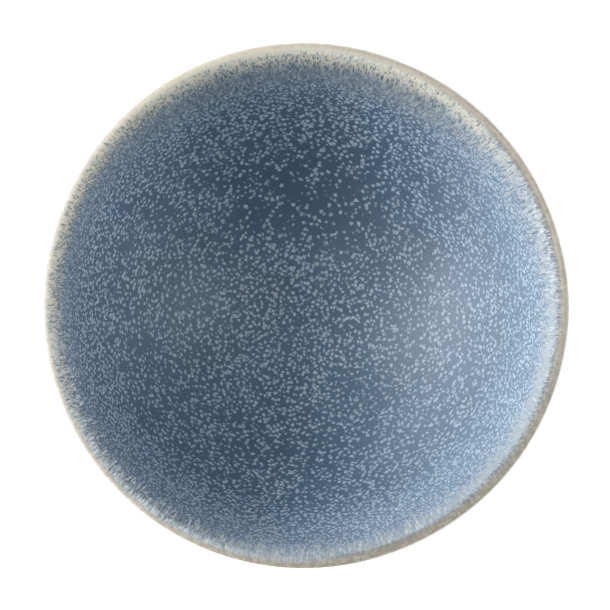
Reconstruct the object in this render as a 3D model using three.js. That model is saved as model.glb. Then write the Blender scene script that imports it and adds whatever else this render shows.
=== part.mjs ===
// Stoneware bowl with a reactive glaze.
//
// A turned clay body on a bare foot ring carries three fired coats: a blue coat inside,
// a blue coat outside, and a cream coat over the lip. Every piece is a solid of
// revolution about +Z. The origin is the centre of the foot's resting plane.
// Units are millimetres.

import * as THREE from 'three';

const { degToRad } = THREE.MathUtils;

// ---- driving dimensions ------------------------------------------------------------
const RIM_DIAMETER = 178;         // across the widest point of the lip
const HEIGHT = 67;                // resting plane to the crest of the lip
const FLOOR_RADIUS = 94;          // spherical radius of the inside, floor and lower wall
const FLOOR_SLOPE = degToRad(54); // slope at which the tighter upper wall begins
const LIP_SLOPE = degToRad(74);   // slope of the wall where it meets the lip
const LIP_RADIUS_INNER = 2.4;     // rounding of the lip's inner shoulder
const LIP_RADIUS_OUTER = 1.6;     // rounding of the lip's outer shoulder
const WALL_UNDER_LIP = 3.9;       // wall measured square to its surface, at the lip
const WALL_AT_FOOT = 7.0;         // the same, where the wall meets the foot

// coats
const GLAZE = 0.5;                // thickness of each coat
const CLEARANCE = 0.03;           // coat to clay, and trimmed off coat ends that meet
const RIM_BAND_INNER_RADIUS = 82; // the cream coat starts here on the inside
const RIM_BAND_OUTER_DROP = 8;    // and ends this far below the crest on the outside
const GLAZE_END_HEIGHT = 10.2;    // the outer coat stops here, just above the foot

// foot ring and the recess it encloses
const FOOT_RADIUS_TOP = 39.5;     // outer side, at its root
const FOOT_RADIUS_BOTTOM = 38.6;  // outer side, just above the resting plane
const FOOT_SIDE_TOP = 6.6;        // height at which the side begins to sweep into the wall
const FOOT_SIDE_INSET = 0.2;      // the side's top lies this far inside the root radius
const FOOT_SWEEP_OUT = 0.5;       // end of the sweep, outward of the root radius
const FOOT_SWEEP_RISE = 1.5;      // and above the side's top
const FOOT_LAND_OUTER = 37.7;     // the flat land the bowl rests on
const FOOT_LAND_INNER = 34.4;
const LAND_BEVEL_OUTER = 0.9;     // heights of the bevels beside the land
const LAND_BEVEL_INNER = 0.8;
const FOOT_BORE_BOTTOM = 33.6;    // inner side
const FOOT_BORE_TOP = 32.6;
const RECESS_CENTRE = 3.0;        // underside of the floor above the resting plane, at the axis
const RECESS_EDGE = 4.0;          // and near the ring
const RECESS_BEVEL_RUN = 1.6;     // bevel between the recess and the bore, radially
const RECESS_BEVEL_DROP = 1.2;    // and in height

// facets: round the axis, then along each stretch of the profile
const SEGMENTS = 60;
const FLOOR_STEPS = 9;
const UPPER_WALL_STEPS = 2;
const BAND_WALL_STEPS = 2;        // cream coat on the wall, on either side of the lip
const SHOULDER_STEPS = 3;         // each shoulder of the lip
const OUTER_WALL_STEPS = 8;

const BLUE = 0x55708c;
const CREAM = 0xc9c3ad;
const CLAY = 0xb59a7a;

// ---- the glazed surface ------------------------------------------------------------
// A station is a point of the surface with its outward normal, both as (radius, height).
// Slopes are angles of the surface from the horizontal.
const station = (x, y, normalX, normalY) => ({
  point: new THREE.Vector2(x, y),
  normal: new THREE.Vector2(normalX, normalY),
});

const crestRadius = RIM_DIAMETER / 2 - LIP_RADIUS_OUTER;

// a shoulder of the lip: side is -1 for the inner one, 1 for the outer one
function lipShoulder(slope, radius, side) {
  const sin = Math.sin(slope);
  const cos = Math.cos(slope);
  return station(crestRadius + side * radius * sin, HEIGHT - radius * (1 - cos), side * sin, cos);
}
const lipInner = (slope) => lipShoulder(slope, LIP_RADIUS_INNER, -1);
const lipOuter = (slope) => lipShoulder(slope, LIP_RADIUS_OUTER, 1);

// upper wall: an arc tangent to the spherical floor that reaches the lip at its slope
const lipStart = lipInner(LIP_SLOPE).point;
const arcStartRadius = FLOOR_RADIUS * Math.sin(FLOOR_SLOPE);
const upperWallRadius =
  (lipStart.x - arcStartRadius) / (Math.sin(LIP_SLOPE) - Math.sin(FLOOR_SLOPE));
const arcStartZ = lipStart.y - upperWallRadius * (Math.cos(FLOOR_SLOPE) - Math.cos(LIP_SLOPE));

// the floor and the upper wall are both arcs through the point where they meet
function inside(slope) {
  const radius = slope <= FLOOR_SLOPE ? FLOOR_RADIUS : upperWallRadius;
  const sin = Math.sin(slope);
  const cos = Math.cos(slope);
  return station(
    arcStartRadius + radius * (sin - Math.sin(FLOOR_SLOPE)),
    arcStartZ + radius * (Math.cos(FLOOR_SLOPE) - cos),
    -sin,
    cos
  );
}

// the wall thickens smoothly from the lip to the foot
const footSlope = Math.asin(FOOT_RADIUS_TOP / (FLOOR_RADIUS + WALL_AT_FOOT));
function outside(slope) {
  const descent = (LIP_SLOPE - slope) / (LIP_SLOPE - footSlope);
  const wall = WALL_UNDER_LIP + (WALL_AT_FOOT - WALL_UNDER_LIP) * descent ** 2;
  const { point, normal } = inside(slope);
  return { point: point.addScaledVector(normal, -wall), normal: normal.negate() };
}

// slope of the outer surface at a height, by bisection
function outsideSlopeAt(height) {
  let low = footSlope;
  let high = LIP_SLOPE;
  for (let i = 0; i < 60; i++) {
    const middle = (low + high) / 2;
    if (outside(middle).point.y < height) low = middle;
    else high = middle;
  }
  return (low + high) / 2;
}

const bandInnerSlope = Math.asin(
  Math.sin(FLOOR_SLOPE) + (RIM_BAND_INNER_RADIUS - arcStartRadius) / upperWallRadius
);
const bandOuterSlope = outsideSlopeAt(HEIGHT - RIM_BAND_OUTER_DROP);
const glazeEndSlope = outsideSlopeAt(GLAZE_END_HEIGHT);

function steps(from, to, count) {
  return Array.from({ length: count + 1 }, (_, i) => from + ((to - from) * i) / count);
}

// stations run from the axis up the inside, over the lip and down the outside
const innerStations = [
  ...steps(0, FLOOR_SLOPE, FLOOR_STEPS),
  ...steps(FLOOR_SLOPE, bandInnerSlope, UPPER_WALL_STEPS).slice(1),
].map(inside);
const rimStations = [
  ...steps(bandInnerSlope, LIP_SLOPE, BAND_WALL_STEPS).map(inside),
  ...steps(LIP_SLOPE, 0, SHOULDER_STEPS).slice(1).map(lipInner),
  ...steps(0, Math.PI / 2, SHOULDER_STEPS).slice(1).map(lipOuter),
  ...steps(LIP_SLOPE, bandOuterSlope, BAND_WALL_STEPS).map(outside),
];
const outerStations = steps(bandOuterSlope, glazeEndSlope, OUTER_WALL_STEPS).map(outside);

// ---- profiles ----------------------------------------------------------------------
// they run anticlockwise in the (radius, height) half-plane, so faces point outward
const offset = (stations, distance) =>
  stations.map(({ point, normal }) => point.clone().addScaledVector(normal, distance));

// clay: underside, foot ring, then the outside up, over the lip and down the inside
function bodyProfile() {
  const recessRise = RECESS_EDGE - RECESS_CENTRE;
  const foot = [
    [0, RECESS_CENTRE],
    [FOOT_BORE_TOP * 0.5, RECESS_CENTRE + recessRise * 0.25], // halfway out, a quarter up
    [FOOT_BORE_TOP - RECESS_BEVEL_RUN, RECESS_EDGE],
    [FOOT_BORE_TOP, RECESS_EDGE - RECESS_BEVEL_DROP],
    [FOOT_BORE_BOTTOM, LAND_BEVEL_INNER],
    [FOOT_LAND_INNER, 0],
    [FOOT_LAND_OUTER, 0],
    [FOOT_RADIUS_BOTTOM, LAND_BEVEL_OUTER],
    [FOOT_RADIUS_TOP - FOOT_SIDE_INSET, FOOT_SIDE_TOP],
    [FOOT_RADIUS_TOP + FOOT_SWEEP_OUT, FOOT_SIDE_TOP + FOOT_SWEEP_RISE],
  ].map(([x, y]) => new THREE.Vector2(x, y));
  // neighbouring coats share a station, which the clay needs only once
  const glazed = [...innerStations.slice(0, -1), ...rimStations.slice(0, -1), ...outerStations];
  return [...foot, ...offset(glazed, -GLAZE).reverse()];
}

// an end station drawn in along the surface towards its neighbour
function drawnIn({ point, normal }, neighbour) {
  const pull = neighbour.point.clone().sub(point).setLength(CLEARANCE);
  return { point: pull.add(point), normal };
}

// a coat: its seat on the clay one way, its outer face back the other way;
// ends that meet another coat are trimmed, and a coat clear of the axis is closed
function coatProfile(stations, { trimStart = false, trimEnd = false, closed = true }) {
  const trimmed = [...stations];
  if (trimStart) trimmed[0] = drawnIn(stations[0], stations[1]);
  if (trimEnd) trimmed[stations.length - 1] = drawnIn(stations.at(-1), stations.at(-2));
  const profile = [...offset(trimmed, CLEARANCE - GLAZE), ...offset(trimmed, 0).reverse()];
  if (closed) profile.push(profile[0].clone());
  return profile;
}

// ---- pieces ------------------------------------------------------------------------
function lathe(name, profile, color, roughness) {
  const mesh = new THREE.Mesh(
    new THREE.LatheGeometry(profile, SEGMENTS),
    new THREE.MeshStandardMaterial({ color, roughness, metalness: 0 })
  );
  mesh.name = name;
  return mesh;
}

const innerCoat = coatProfile(innerStations, { trimEnd: true, closed: false });
const rimCoat = coatProfile(rimStations, { trimStart: true, trimEnd: true });
const outerCoat = coatProfile(outerStations, { trimStart: true });

const bowl = new THREE.Group();
bowl.rotation.x = Math.PI / 2; // the lathe's axis becomes +Z
bowl.add(
  lathe('stoneware_body', bodyProfile(), CLAY, 0.9),
  lathe('inner_glaze', innerCoat, BLUE, 0.42),
  lathe('rim_glaze', rimCoat, CREAM, 0.45),
  lathe('outer_glaze', outerCoat, BLUE, 0.42)
);

export default bowl;
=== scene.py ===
"""Stoneware bowl with a speckled blue reactive glaze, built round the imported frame.

Four pieces stand for the four CAD nodes: the clay body with its turned foot, the blue coat
inside, the blue coat outside, and the cream coat dipped over the lip. Every surface is a
fine mesh of revolution with the small departures of a fired pot, and every colour is made
from noise and Voronoi nodes driven by two distances stored on the mesh: how far a point
lies from the crest of the lip, and its angle round the bowl.
"""

import math

import bpy
import numpy as np
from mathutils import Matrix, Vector


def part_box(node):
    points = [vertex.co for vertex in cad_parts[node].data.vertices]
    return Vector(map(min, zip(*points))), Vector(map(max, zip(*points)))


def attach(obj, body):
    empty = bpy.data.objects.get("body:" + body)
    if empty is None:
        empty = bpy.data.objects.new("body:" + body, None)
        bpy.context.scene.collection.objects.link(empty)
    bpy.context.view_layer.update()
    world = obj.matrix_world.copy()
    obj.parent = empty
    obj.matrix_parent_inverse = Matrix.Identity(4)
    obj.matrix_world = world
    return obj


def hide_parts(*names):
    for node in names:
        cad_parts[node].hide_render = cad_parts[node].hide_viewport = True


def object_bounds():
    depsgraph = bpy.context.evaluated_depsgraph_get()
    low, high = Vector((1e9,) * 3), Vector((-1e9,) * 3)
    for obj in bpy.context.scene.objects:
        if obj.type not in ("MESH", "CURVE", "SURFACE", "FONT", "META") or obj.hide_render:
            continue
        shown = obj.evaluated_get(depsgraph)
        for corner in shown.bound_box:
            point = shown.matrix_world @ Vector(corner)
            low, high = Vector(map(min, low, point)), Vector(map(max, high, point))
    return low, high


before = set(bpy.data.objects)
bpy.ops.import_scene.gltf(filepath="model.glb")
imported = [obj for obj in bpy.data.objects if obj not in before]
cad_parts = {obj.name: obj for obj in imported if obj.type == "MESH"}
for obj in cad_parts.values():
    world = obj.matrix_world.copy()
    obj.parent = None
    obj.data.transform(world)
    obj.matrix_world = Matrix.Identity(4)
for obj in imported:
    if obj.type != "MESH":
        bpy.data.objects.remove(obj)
cad_lo, cad_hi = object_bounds()

# ---- dimensions, in millimetres, from the frame where it holds them ---------------------
MM = 0.001
RIM_R = (cad_hi.x - cad_lo.x) / 2 / MM
HEIGHT = cad_hi.z / MM
FLOOR_RADIUS = 94.0
SLOPE_ARC = math.radians(54)
SLOPE_LIP = math.radians(74)
LIP_IN = 2.4
LIP_OUT = 1.6
WALL_LIP = 3.9
WALL_FOOT = 7.0
GLAZE = 0.5
GAP = 0.03
FOOT_TOP_R = 39.5
FOOT_BOTTOM_R = 38.6
LAND_OUT = 37.7
LAND_IN = 34.4
BORE_BOTTOM = 33.6
BORE_TOP = 32.6
RECESS_CENTRE = 3.0
RECESS_EDGE = 4.0
BAND_IN_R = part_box("inner_glaze")[1].x / MM - 0.4  # the coat's seat is a little wider
BAND_OUT_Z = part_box("outer_glaze")[1].z / MM
COAT_END_Z = 10.2

SEG = 384

crest_r = RIM_R - LIP_OUT
lip_in_r = crest_r - LIP_IN * math.sin(SLOPE_LIP)
lip_in_z = HEIGHT - LIP_IN * (1 - math.cos(SLOPE_LIP))
arc_r = FLOOR_RADIUS * math.sin(SLOPE_ARC)
WALL_RADIUS = (lip_in_r - arc_r) / (math.sin(SLOPE_LIP) - math.sin(SLOPE_ARC))
arc_z = lip_in_z - WALL_RADIUS * (math.cos(SLOPE_ARC) - math.cos(SLOPE_LIP))
floor_z = arc_z - FLOOR_RADIUS * (1 - math.cos(SLOPE_ARC))


def inside(a):
    n = (-math.sin(a), math.cos(a))
    if a <= SLOPE_ARC:
        return (FLOOR_RADIUS * math.sin(a), floor_z + FLOOR_RADIUS * (1 - math.cos(a))), n
    return (
        arc_r + WALL_RADIUS * (math.sin(a) - math.sin(SLOPE_ARC)),
        arc_z + WALL_RADIUS * (math.cos(SLOPE_ARC) - math.cos(a)),
    ), n


SLOPE_FOOT = math.asin(FOOT_TOP_R / (FLOOR_RADIUS + WALL_FOOT))


def outside(a):
    (r, z), n = inside(a)
    t = min(1.0, max(0.0, (SLOPE_LIP - a) / (SLOPE_LIP - SLOPE_FOOT)))
    w = WALL_LIP + (WALL_FOOT - WALL_LIP) * t * t
    return (r - w * n[0], z - w * n[1]), (math.sin(a), -math.cos(a))


def lip_inner(a):
    return (crest_r - LIP_IN * math.sin(a), HEIGHT - LIP_IN * (1 - math.cos(a))), (
        -math.sin(a),
        math.cos(a),
    )


def lip_outer(a):
    return (crest_r + LIP_OUT * math.sin(a), HEIGHT - LIP_OUT * (1 - math.cos(a))), (
        math.sin(a),
        math.cos(a),
    )


def solve(f, target, lo, hi):
    for _ in range(60):
        mid = (lo + hi) / 2
        if f(mid) < target:
            lo = mid
        else:
            hi = mid
    return (lo + hi) / 2


SLOPE_BAND = solve(lambda a: inside(a)[0][0], BAND_IN_R, SLOPE_ARC, SLOPE_LIP)
SLOPE_BAND_OUT = solve(lambda a: outside(a)[0][1], BAND_OUT_Z, SLOPE_FOOT, SLOPE_LIP)
SLOPE_END = solve(lambda a: outside(a)[0][1], COAT_END_Z, SLOPE_FOOT * 0.9, SLOPE_LIP)


def steps(a, b, n):
    return [a + (b - a) * i / n for i in range(n + 1)]


inner_st = [inside(a) for a in steps(0, SLOPE_ARC, 96)] + [
    inside(a) for a in steps(SLOPE_ARC, SLOPE_BAND, 16)[1:]
]
rim_st = (
    [inside(a) for a in steps(SLOPE_BAND, SLOPE_LIP, 14)]
    + [lip_inner(a) for a in steps(SLOPE_LIP, 0, 14)[1:]]
    + [lip_outer(a) for a in steps(0, math.pi - SLOPE_LIP, 16)[1:-1]]
    + [outside(a) for a in steps(SLOPE_LIP, SLOPE_BAND_OUT, 12)]
)
outer_st = [outside(a) for a in steps(SLOPE_BAND_OUT, SLOPE_END, 84)]


def arc_lengths(stations):
    p = np.array([s[0] for s in stations])
    return np.concatenate([[0.0], np.cumsum(np.hypot(*np.diff(p, axis=0).T))])


# distance along the glazed surface from the crest of the lip: positive inside, negative out
crest_i = 14 + 14
rim_len = arc_lengths(rim_st)
rim_u = rim_len[crest_i] - rim_len
inner_len = arc_lengths(inner_st)
inner_u = rim_u[0] + inner_len[-1] - inner_len
outer_u = rim_u[-1] - arc_lengths(outer_st)

# Radius in a flat chart of each face in which shapes keep their proportions, so that a
# pattern drawn there is not stretched by the wall: d(ln c) = d(length) / radius.


def chart(stations, start):
    p = np.array([s[0] for s in stations])
    d = np.hypot(*np.diff(p, axis=0).T)
    r = np.maximum((p[1:, 0] + p[:-1, 0]) / 2, 1e-6)
    return start * np.exp(np.concatenate([[0.0], np.cumsum(d / r)]))


inner_c = np.zeros(len(inner_st))
inner_c[1:] = chart(inner_st[1:], 2 * FLOOR_RADIUS * math.tan(steps(0, SLOPE_ARC, 96)[1] / 2))
rim_c_in = chart(rim_st[: crest_i + 1], inner_c[-1])
outer_c = chart(outer_st[::-1], outer_st[-1][0][0] * 0.85)[::-1]
rim_c_out = chart(rim_st[crest_i:][::-1], outer_c[0])[::-1]
rim_c = np.concatenate([rim_c_in, rim_c_out[1:]])

# ---- the small departures of a fired pot ---------------------------------------------------
PHI = np.arange(SEG) * (2 * math.pi / SEG)


def waves(phi, table):
    """A sum of cosines round the bowl: (order, amplitude, phase in radians)."""
    out = np.zeros_like(phi)
    for order, amp, phase in table:
        out = out + amp * np.cos(order * phi + phase)
    return out


# the rim is very slightly three-sided from drying and firing
RIM_WOBBLE = waves(PHI, [(3, 0.248, 0.457), (2, 0.05, 1.1), (5, 0.03, 2.0)])
RIM_LEVEL = waves(PHI, [(2, 0.10, 0.6), (3, 0.07, 2.2), (7, 0.02, 0.4)])


def ripple(u, phi):
    """Glaze relief in millimetres: soft, shallow, different everywhere, the same each run."""
    uu, pp = np.meshgrid(u, phi, indexing="ij")
    x, y = np.cos(pp), np.sin(pp)
    d = np.zeros_like(uu)
    rng = np.random.RandomState(7)
    for k in range(26):
        a, b = rng.uniform(-9, 9, 2)
        c = rng.uniform(0.02, 0.35)
        d += math.cos(k) * np.cos(a * x + b * y + c * uu + rng.uniform(0, 6.28)) * (
            0.022 / (0.6 + math.hypot(a, b) * 0.12 + c * 2)
        )
    return d * 0.35


def place(points, normals, disp, shift_ok=True):
    """points: (rows, 2); disp: (rows, SEG) along the normal. Returns (rows, SEG, 3) in mm."""
    p = np.asarray(points, float)
    n = np.asarray(normals, float)
    r = p[:, None, 0] + disp * n[:, None, 0]
    z = p[:, None, 1] + disp * n[:, None, 1]
    if shift_ok:
        w = np.clip(z / HEIGHT, 0, 1) ** 2
        r = r + RIM_WOBBLE[None, :] * w * np.clip(r / RIM_R, 0, 1)
        z = z + RIM_LEVEL[None, :] * w * 0.6
    return np.stack([r * np.cos(PHI), r * np.sin(PHI), z], axis=-1)


def revolve(name, grid, attrs, uvs, closed, start_pole, end_pole):
    """A mesh from rows of rings. closed joins the last ring to the first. A pole row (its
    radius is zero) becomes one vertex."""
    rows = grid.shape[0]
    verts, index = [], []
    flat = {k: [] for k in attrs}
    for i in range(rows):
        pole = (i == 0 and start_pole) or (i == rows - 1 and end_pole)
        if pole:
            c = grid[i].mean(0)
            c[0] = c[1] = 0.0
            index.append(np.full(SEG, len(verts)))
            verts.append(c)
            for k in attrs:
                flat[k].append(float(np.mean(attrs[k][i])))
        else:
            index.append(np.arange(len(verts), len(verts) + SEG))
            verts.extend(grid[i])
            for k in attrs:
                flat[k].extend(np.broadcast_to(attrs[k][i], (SEG,)).tolist())
    faces, fuv = [], []
    last = rows if closed else rows - 1
    for i in range(last):
        i2 = (i + 1) % rows
        a, b = index[i], index[i2]
        for j in range(SEG):
            j2 = (j + 1) % SEG
            quad = [
                (a[j], (i, j, 0)),
                (a[j2], (i, j, 1)),
                (b[j2], (i, j, 2)),
                (b[j], (i, j, 3)),
            ]
            seen, f, t = set(), [], []
            for v, corner in quad:
                if v not in seen:
                    seen.add(v)
                    f.append(int(v))
                    t.append(corner)
            if len(f) >= 3:
                faces.append(f)
                fuv.extend(t)
    mesh = bpy.data.meshes.new(name)
    mesh.from_pydata((np.array(verts) * MM).tolist(), [], faces)
    layer = mesh.uv_layers.new(name="OFBake")
    coords = np.zeros((len(mesh.loops), 2), np.float32)
    for k, (i, j, c) in enumerate(fuv):
        row = i if c in (0, 1) else i + 1
        col = j if c in (0, 3) else j + 1
        coords[k] = uvs(i, row, j, col)
    layer.data.foreach_set("uv", coords.ravel())
    for k, vals in flat.items():
        at = mesh.attributes.new(k, "FLOAT", "POINT")
        at.data.foreach_set("value", np.array(vals, np.float32))
    mesh.polygons.foreach_set("use_smooth", np.ones(len(mesh.polygons), bool))
    mesh.set_sharp_from_angle(angle=math.radians(38))
    mesh.validate()
    mesh.update()
    ob = bpy.data.objects.new(name, mesh)
    bpy.context.scene.collection.objects.link(ob)
    return ob


def polar_uv(radii, scale, cx, cy):
    def f(row, col):
        a = 2 * math.pi * col / SEG
        return cx + radii[row] * scale * math.cos(a), cy + radii[row] * scale * math.sin(a)

    return f


# ---- inner coat ------------------------------------------------------------------------------
pts = [s[0] for s in inner_st]
nrm = [s[1] for s in inner_st]
n_top = len(inner_st)
fade = np.clip((inner_u - rim_u[0]) / 6.0, 0, 1)[:, None]  # relief meets the rim coat's
top_disp = ripple(inner_u, PHI)
under_i = list(range(0, n_top, 6))
if under_i[-1] != n_top - 1:
    under_i.append(n_top - 1)
g_top = place(pts, nrm, top_disp)
g_under = place([pts[i] for i in under_i], [nrm[i] for i in under_i], np.full((len(under_i), SEG), -GLAZE + GAP))
grid = np.concatenate([g_under, g_top[::-1]])
u_all = np.concatenate([inner_u[under_i], inner_u[::-1]])
nu = len(under_i)
rad_under = (inner_u[0] - inner_u[under_i]) / inner_u[0]
rad_top = (inner_u[0] - inner_u[::-1]) / (inner_u[0] - inner_u[-1])
p_under = polar_uv(np.append(rad_under, rad_under[-1] * 1.02), 0.055, 0.07, 0.07)
p_top = polar_uv(rad_top, 0.485, 0.5, 0.5)


def uv_inner(i, row, j, col):
    if i < nu - 1:
        return p_under(row, col)
    if i == nu - 1:  # the coat's edge against the rim coat
        return (0.02 + 0.1 * col / SEG, 0.93 + (0.01 if row == nu else 0.0))
    return p_top(row - nu, col)


c_all = np.concatenate([inner_c[under_i], inner_c[::-1]])
inner = revolve("inner_glaze_coat", grid, {"u_mm": u_all[:, None], "c_mm": c_all[:, None]}, uv_inner, False, True, True)

# ---- rim coat -------------------------------------------------------------------------------
pts = [s[0] for s in rim_st]
nrm = [s[1] for s in rim_st]
n_top = len(rim_st)
g_top = place(pts, nrm, ripple(rim_u, PHI))
under_i = list(range(0, n_top, 4))
if under_i[-1] != n_top - 1:
    under_i.append(n_top - 1)
g_under = place([pts[i] for i in under_i], [nrm[i] for i in under_i], np.full((len(under_i), SEG), -GLAZE + GAP))
grid = np.concatenate([g_under, g_top[::-1]])
u_all = np.concatenate([rim_u[under_i], rim_u[::-1]])
nu = len(under_i)
rows_all = grid.shape[0]
QUARTERS = 4
per = SEG // QUARTERS


def uv_rim(i, row, j, col):
    q = j // per
    x = 0.01 + 0.98 * (col - q * per) / per
    base = 0.004 + q * 0.249
    if i < nu - 1:
        return x, base + 0.022 * row / (nu - 1)
    if i == nu - 1:
        return x, base + 0.026 + (0.004 if row == nu else 0.0)
    if i == rows_all - 1:
        return x, base + 0.236 + (0.004 if row != i else 0.0)
    return x, base + 0.034 + 0.198 * (rim_u[-1] - u_all[row]) / (rim_u[-1] - rim_u[0])


c_all = np.concatenate([rim_c[under_i], rim_c[::-1]])
rim = revolve("rim_glaze_coat", grid, {"u_mm": u_all[:, None], "c_mm": c_all[:, None]}, uv_rim, True, False, False)

# ---- outer coat -----------------------------------------------------------------------------
# It swells to a soft roll above the foot and ends on a line that wanders, with a few runs.
END_LINE = waves(PHI, [(2, 0.28, 0.4), (3, 0.22, 1.9), (5, 0.16, 0.2), (9, 0.10, 2.5), (17, 0.05, 1.0)])
for where, deep, wide in ((0.7, 0.9, 0.07), (2.35, 0.6, 0.05), (3.6, 1.1, 0.08), (5.1, 0.7, 0.06)):
    away = np.abs((PHI - where + math.pi) % (2 * math.pi) - math.pi)
    END_LINE = END_LINE + deep * np.exp(-((away / wide) ** 2))

end_len = -outer_u[-1] + outer_u[0]


def outer_grid(stations, lift):
    """Stations shifted down the wall near the coat's end, by the wandering line."""
    a0 = np.array(steps(SLOPE_BAND_OUT, SLOPE_END, 84))[stations]
    dist = (outer_u[stations] - outer_u[-1])[:, None]  # mm up from the coat's end
    w = np.clip(1 - dist / 14.0, 0, 1) ** 1.5
    da = -(END_LINE[None, :] * w) / (FLOOR_RADIUS + WALL_FOOT)
    g = np.zeros((len(stations), SEG, 3))
    for k in range(len(stations)):
        row_p = np.zeros((SEG, 2))
        row_n = np.zeros((SEG, 2))
        (r0, z0), n0 = outside(a0[k])
        e = 1e-4
        (r1, z1), _ = outside(a0[k] + e)
        row_p[:, 0] = r0 + (r1 - r0) / e * da[k]
        row_p[:, 1] = z0 + (z1 - z0) / e * da[k]
        row_n[:] = n0
        d = lift[k]
        r = row_p[:, 0] + d * row_n[:, 0]
        z = row_p[:, 1] + d * row_n[:, 1]
        ww = np.clip(z / HEIGHT, 0, 1) ** 2
        r = r + RIM_WOBBLE * ww * np.clip(r / RIM_R, 0, 1)
        z = z + RIM_LEVEL * ww * 0.6
        g[k] = np.stack([r * np.cos(PHI), r * np.sin(PHI), z], axis=-1)
    return g


n_top = len(outer_st)
idx = np.arange(n_top)
dist_end = outer_u - outer_u[-1]
relief = ripple(outer_u, PHI)
# faint ridges left by the profile tool, and the roll at the lower edge
ridge = 0.035 * np.sin(outer_u * 2 * math.pi / 7.3 + 0.5) * np.clip((dist_end - 6) / 10, 0, 1) * np.clip((-outer_u - 14) / 10, 0, 1)
roll = 0.34 * np.exp(-(((dist_end - 1.1) / 1.5) ** 2)) + 0.10 * np.exp(-(((dist_end - 3.0) / 3.5) ** 2))
edge = np.clip(dist_end / 0.9, 0, 1)
round_off = np.sqrt(np.clip(1 - (1 - edge) ** 2, 0, 1))
lift_top = relief * np.clip(dist_end / 3, 0.2, 1)[:, None] + ridge[:, None] + roll[:, None]
lift_top = (lift_top + GLAZE) * (0.12 + 0.88 * round_off)[:, None] - GLAZE
g_top = outer_grid(idx, lift_top)
under_i = list(range(0, n_top, 6))
if under_i[-1] != n_top - 1:
    under_i.append(n_top - 1)
g_under = outer_grid(np.array(under_i), np.full((len(under_i), SEG), -GLAZE + GAP))
grid = np.concatenate([g_under, g_top[::-1]])
u_all = np.concatenate([outer_u[under_i], outer_u[::-1]])
nu = len(under_i)
rows_all = grid.shape[0]
out_r = 38.0 + (u_all - outer_u[-1])
o_scale = 0.488 / out_r.max()


def uv_outer(i, row, j, col):
    a = 2 * math.pi * col / SEG
    if i < nu - 1:
        k = 0.012 + 0.03 * (row / (nu - 1))
        return 0.055 + k * math.cos(a), 0.055 + k * math.sin(a)
    if i == nu - 1:
        k = 0.25 * 38.0 * o_scale + (0.004 if row == nu else 0.0)
        return 0.5 + k * math.cos(a), 0.5 + k * math.sin(a)
    if i == rows_all - 1:
        k = 0.13 * 38.0 * o_scale + (0.004 if row != i else 0.0)
        return 0.5 + k * math.cos(a), 0.5 + k * math.sin(a)
    k = out_r[row] * o_scale
    return 0.5 + k * math.cos(a), 0.5 + k * math.sin(a)


c_all = np.concatenate([outer_c[under_i], outer_c[::-1]])
outer = revolve("outer_glaze_coat", grid, {"u_mm": u_all[:, None], "c_mm": c_all[:, None]}, uv_outer, True, False, False)

# ---- clay body -------------------------------------------------------------------------------


def clay(st, d=GLAZE):
    (r, z), n = st
    return max(0.0, r - d * n[0]), z - d * n[1]


def corner(p0, p1, p2, radius, n):
    """Points of the round that replaces the corner p1 of the path p0, p1, p2."""
    p0, p1, p2 = (np.array(p, float) for p in (p0, p1, p2))
    a, b = (p0 - p1) / np.linalg.norm(p0 - p1), (p2 - p1) / np.linalg.norm(p2 - p1)
    half = math.acos(float(np.clip(a @ b, -1, 1))) / 2
    t = radius / math.tan(half)
    c = p1 + (a + b) / np.linalg.norm(a + b) * (radius / math.sin(half))
    s, e = p1 + a * t, p1 + b * t
    a0, a1 = math.atan2(*(s - c)[::-1]), math.atan2(*(e - c)[::-1])
    d = (a1 - a0 + math.pi) % (2 * math.pi) - math.pi
    return [tuple(c + radius * np.array([math.cos(a0 + d * k / n), math.sin(a0 + d * k / n)])) for k in range(n + 1)]


def spread(p, q, n):
    return [(p[0] + (q[0] - p[0]) * k / n, p[1] + (q[1] - p[1]) * k / n) for k in range(n + 1)]


wall_a = clay(outside(SLOPE_END))
wall_b = clay(outside(solve(lambda a: outside(a)[0][1], 8.6, SLOPE_FOOT * 0.7, SLOPE_LIP)))
recess = []
for k in range(0, 45):
    r = (BORE_TOP - 1.8) * k / 44
    recess.append((r, RECESS_CENTRE + (RECESS_EDGE - RECESS_CENTRE) * (r / (BORE_TOP - 1.8)) ** 2))
top_in = corner(recess[-1], (BORE_TOP - 0.05, RECESS_EDGE + 0.1), (BORE_BOTTOM, 0.8), 1.3, 6)
low_in = corner((BORE_TOP, 3.0), (BORE_BOTTOM + 0.15, 0.0), (LAND_OUT, 0.0), 0.75, 6)
low_out = corner((LAND_IN, 0.0), (FOOT_BOTTOM_R - 0.05, 0.0), (FOOT_TOP_R - 0.2, 6.6), 0.85, 7)
side_top = (FOOT_TOP_R - 0.15, 6.9)
root_pt = (FOOT_TOP_R + 0.05, 8.35)
fillet = corner(low_out[-1], root_pt, wall_a, 2.1, 9)
path = recess[:-1]
path += spread(recess[-1], top_in[0], 2)[:-1] + top_in
path += spread(top_in[-1], low_in[0], 4)[1:-1] + low_in
path += spread(low_in[-1], low_out[0], 4)[1:-1] + low_out
path += spread(low_out[-1], fillet[0], 9)[1:-1] + fillet
path += spread(fillet[-1], wall_a, 4)[1:]
n_seen = len(path)  # below this the clay shows; above it lies under the coats
hidden = [clay(s) for s in outer_st[::-1][4::6]] + [clay(s) for s in rim_st[::-1][2::3]] + [
    clay(s) for s in inner_st[::-1][3:-1:6]
] + [clay(inner_st[0])]
path += hidden
path = np.array(path)
seg_len = np.concatenate([[0.0], np.cumsum(np.hypot(*np.diff(path, axis=0).T))])
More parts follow.
